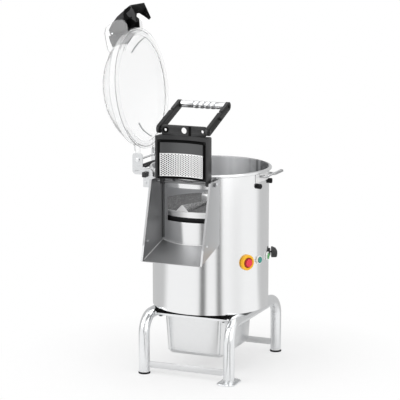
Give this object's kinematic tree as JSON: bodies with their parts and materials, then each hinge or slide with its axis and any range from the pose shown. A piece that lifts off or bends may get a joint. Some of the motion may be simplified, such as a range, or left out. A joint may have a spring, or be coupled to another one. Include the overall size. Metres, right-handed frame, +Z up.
{
  "type": "electric potato peeler",
  "caption": "Floor-standing electric potato peeler: steel drum with abrasive disc, hinged clear lid, discharge door and chute, waste pan and tube stand.",
  "frame": {"origin": "centre of the bounding box's base, on the floor", "axes": "+Z up, -Y is the front with the chute and door, +X is the side with the controls"},
  "size_m": [0.7104, 0.6552, 1.3937],
  "materials": {
    "bright_steel": "brushed bright",
    "satin_steel": "satin",
    "grey_steel": "satin grey",
    "chrome": "polished",
    "black_plastic": "satin",
    "black_rubber": "matt",
    "abrasive": "abrasive coated",
    "clear_plastic": "clear",
    "yellow_plastic": "satin",
    "red_plastic": "semi-gloss",
    "teal_plastic": "semi-gloss",
    "green_plastic": "semi-gloss",
    "white_plastic": "satin",
    "grey_paint": "satin"
  },
  "bodies": {
    "frame": {"side_frame_left": "bright_steel", "side_frame_right": "bright_steel", "anchor_foot_plate": "bright_steel", "drum_shell": "bright_steel", "door_hinge_pin": "bright_steel", "catch_loop": "bright_steel", "lid_hinge_pin": "bright_steel", "pan_runner_left": "satin_steel", "pan_runner_right": "satin_steel", "base_plate": "satin_steel", "chamber_floor": "satin_steel", "waste_pipe": "satin_steel", "lower_bearing": "satin_steel", "upper_bearing": "satin_steel", "discharge_chute": "satin_steel", "catch_plate": "satin_steel", "lid_hinge_bracket": "satin_steel", "lower_crossbar_front": "grey_steel", "lower_crossbar_rear": "grey_steel", "upper_crossbar_front": "grey_steel", "upper_crossbar_rear": "grey_steel", "drive_plate": "grey_steel", "bearing_housing": "grey_steel", "timer_flange": "black_plastic", "safety_switch": "black_plastic", "foot_cap_front_left": "black_rubber", "foot_cap_rear_left": "black_rubber", "foot_cap_rear_right": "black_rubber", "drive_belt": "black_rubber", "catch_stud_front": "black_rubber", "catch_stud_rear": "black_rubber", "hinge_rubber_pad": "black_rubber", "estop_base": "yellow_plastic", "start_button_ring": "white_plastic", "second_button_ring": "white_plastic", "motor": "grey_paint", "control_box": "grey_paint"},
    "disc": {"peeling_disc": "abrasive", "disc_skirt": "black_rubber", "drive_shaft": "bright_steel", "large_pulley": "grey_steel"},
    "motor_rotor": {"motor_shaft": "bright_steel", "motor_pulley": "grey_steel"},
    "lid": {"lid_dome": "clear_plastic", "latch_pin": "bright_steel", "latch_block": "black_plastic"},
    "latch": {"latch_hood": "black_plastic"},
    "door": {"door_frame": "black_plastic", "door_seal": "black_rubber", "perforated_insert": "satin_steel", "blank_panel": "grey_steel", "lock_bar": "black_plastic"},
    "lever": {"lever_arm_left": "black_plastic", "lever_arm_right": "black_plastic", "lever_grip": "chrome"},
    "estop_button": {"estop_mushroom": "red_plastic"},
    "start_button": {"start_button_cap": "teal_plastic"},
    "second_button": {"second_button_cap": "green_plastic"},
    "timer": {"timer_knob": "black_plastic"},
    "pan": {"waste_pan": "satin_steel"}
  },
  "joints": [
    {"name": "disc_spin", "type": "hinge", "parent": "frame", "child": "disc", "pos_m": [0.07079, 0.04762, 0.638], "axis": [0, 0, 1], "continuous": true},
    {"name": "motor_spin", "type": "hinge", "parent": "frame", "child": "motor_rotor", "pos_m": [0.07079, 0.17262, 0.29], "axis": [0, 0, 1], "continuous": true},
    {"name": "door_hinge", "type": "hinge", "parent": "frame", "child": "door", "pos_m": [0.07079, -0.19588, 0.755], "axis": [1, 0, 0], "range_deg": [0, 180]},
    {"name": "lever_pivot", "type": "hinge", "parent": "door", "child": "lever", "pos_m": [0.07079, -0.20978, 0.9555], "axis": [1, 0, 0], "range_deg": [-15.5, 0]},
    {"name": "lid_hinge", "type": "hinge", "parent": "frame", "child": "lid", "pos_m": [-0.19721, 0.04762, 0.801], "axis": [0, 1, 0], "range_deg": [0, 97]},
    {"name": "latch_pivot", "type": "hinge", "parent": "lid", "child": "latch", "pos_m": [-0.31154, 0.04762, 1.28165], "axis": [0, -1, 0], "range_deg": [-8, 40]},
    {"name": "estop_press", "type": "slide", "parent": "frame", "child": "estop_button", "axis": [-0.866, 0.5, 0], "range_m": [0, 0.004], "stiffness_N_per_m": 900},
    {"name": "start_press", "type": "slide", "parent": "frame", "child": "start_button", "axis": [-0.9744, 0.225, 0], "range_m": [0, 0.004], "stiffness_N_per_m": 400},
    {"name": "second_press", "type": "slide", "parent": "frame", "child": "second_button", "axis": [-0.9947, -0.1028, 0], "range_m": [0, 0.004], "stiffness_N_per_m": 400},
    {"name": "timer_turn", "type": "hinge", "parent": "frame", "child": "timer", "pos_m": [0.2747, 0.14271, 0.442], "axis": [0.9063, 0.4226, 0], "range_deg": [0, 270]},
    {"name": "pan_slide", "type": "slide", "parent": "frame", "child": "pan", "axis": [0, -1, 0], "range_m": [0, 0.3]}
  ],
  "couplings": [
    {"joint": "motor_spin", "follows": "disc_spin", "ratio": 2.5},
    {"joint": "lid_hinge", "follows": "door_hinge", "ratio": 0.5388}
  ]
}
